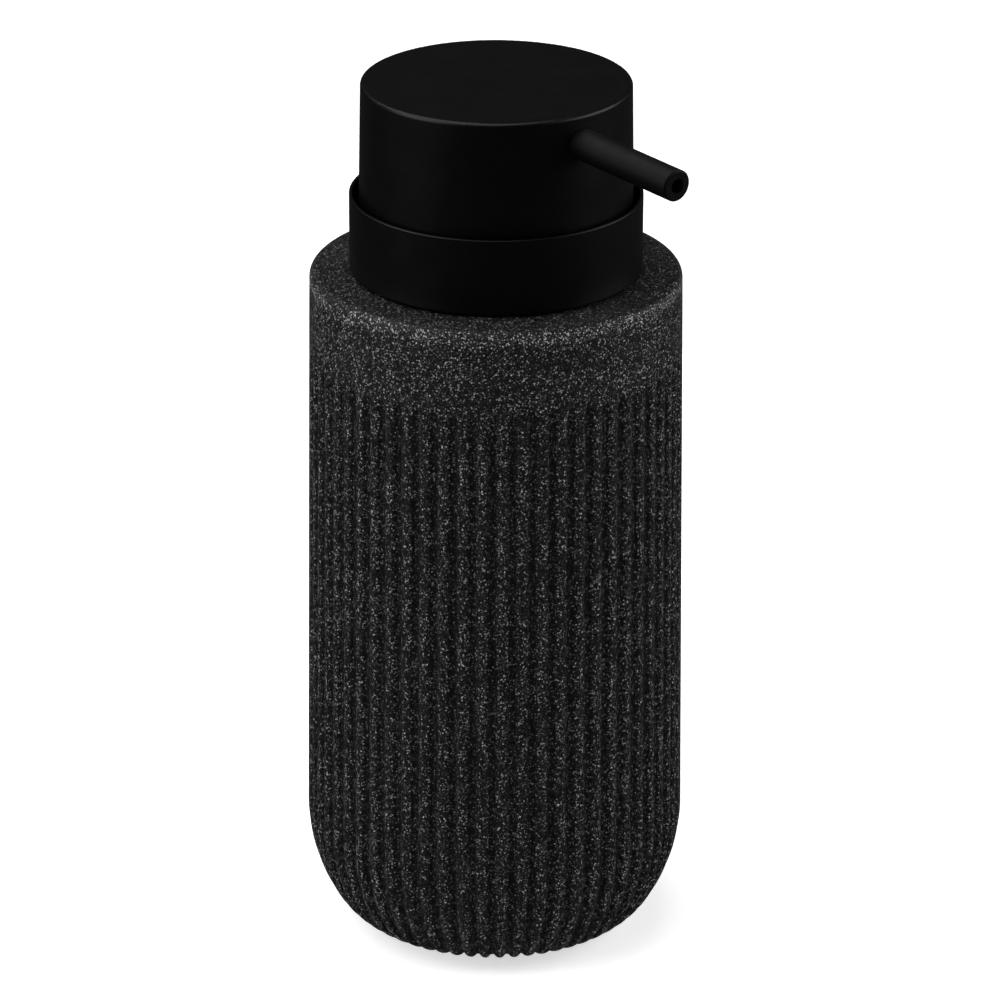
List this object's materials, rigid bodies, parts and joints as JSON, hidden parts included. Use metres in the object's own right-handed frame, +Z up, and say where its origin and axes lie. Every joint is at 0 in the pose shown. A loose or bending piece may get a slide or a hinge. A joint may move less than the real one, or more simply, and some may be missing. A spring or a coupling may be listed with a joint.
{
  "type": "soap pump dispenser",
  "caption": "Ribbed speckled stone-resin bottle with a screw-on press pump: drum head with a straight side spout, sinking into a thin round collar.",
  "frame": {"origin": "centre of the foot pad's underside, on the bottle's axis", "axes": "+Z up along the bottle's axis, the spout points along -Y"},
  "size_m": [0.0748, 0.0909, 0.1753],
  "materials": {
    "stone_resin": "matte, cast, with pale flecks",
    "black_plastic": "satin moulded",
    "neck_plastic": "moulded",
    "pump_plastic": "natural moulded",
    "piston_plastic": "soft moulded",
    "seal_rubber": "moulded",
    "pad_foam": "fine-celled foam",
    "spring_steel": "drawn wire",
    "ball_steel": "polished"
  },
  "bodies": {
    "bottle": {"resin_body": "stone_resin", "neck_insert": "neck_plastic", "base_pad": "pad_foam"},
    "pump": {"pump_housing": "pump_plastic", "neck_gasket": "seal_rubber", "stem_guide": "pump_plastic", "stem_seal": "seal_rubber", "ball_cage": "pump_plastic", "dip_tube": "pump_plastic", "return_spring": "spring_steel"},
    "closure": {"closure_cap": "neck_plastic", "collar_cup": "black_plastic"},
    "plunger": {"piston": "piston_plastic"},
    "head": {"stem": "pump_plastic", "piston_rod": "pump_plastic", "head_core": "black_plastic", "head_shell": "black_plastic", "spout_tube": "black_plastic"},
    "inlet_valve": {"inlet_ball": "ball_steel"},
    "outlet_valve": {"outlet_ball": "ball_steel"}
  },
  "joints": [
    {"name": "thread_rise", "type": "slide", "parent": "bottle", "child": "pump", "axis": [0, 0, 1], "range_m": [0, 0.00741]},
    {"name": "closure_turn", "type": "hinge", "parent": "pump", "child": "closure", "pos_m": [0, 0, 0.1453], "axis": [0, 0, 1], "range_deg": [0, 630]},
    {"name": "head_press", "type": "slide", "parent": "pump", "child": "plunger", "axis": [0, 0, -1], "range_m": [0, 0.009], "stiffness_N_per_m": 550, "springref_m": -0.008, "deforming": ["return_spring"]},
    {"name": "head_swivel", "type": "hinge", "parent": "plunger", "child": "head", "pos_m": [0, 0, 0.1525], "axis": [0, 0, 1], "continuous": true},
    {"name": "inlet_ball_lift", "type": "slide", "parent": "pump", "child": "inlet_valve", "axis": [0, 0, 1], "range_m": [0, 0.0016]},
    {"name": "outlet_ball_lift", "type": "slide", "parent": "head", "child": "outlet_valve", "axis": [0, 0, 1], "range_m": [0, 0.0012]}
  ],
  "couplings": [
    {"joint": "thread_rise", "follows": "closure_turn", "m_per_rad": 0.00067322}
  ]
}
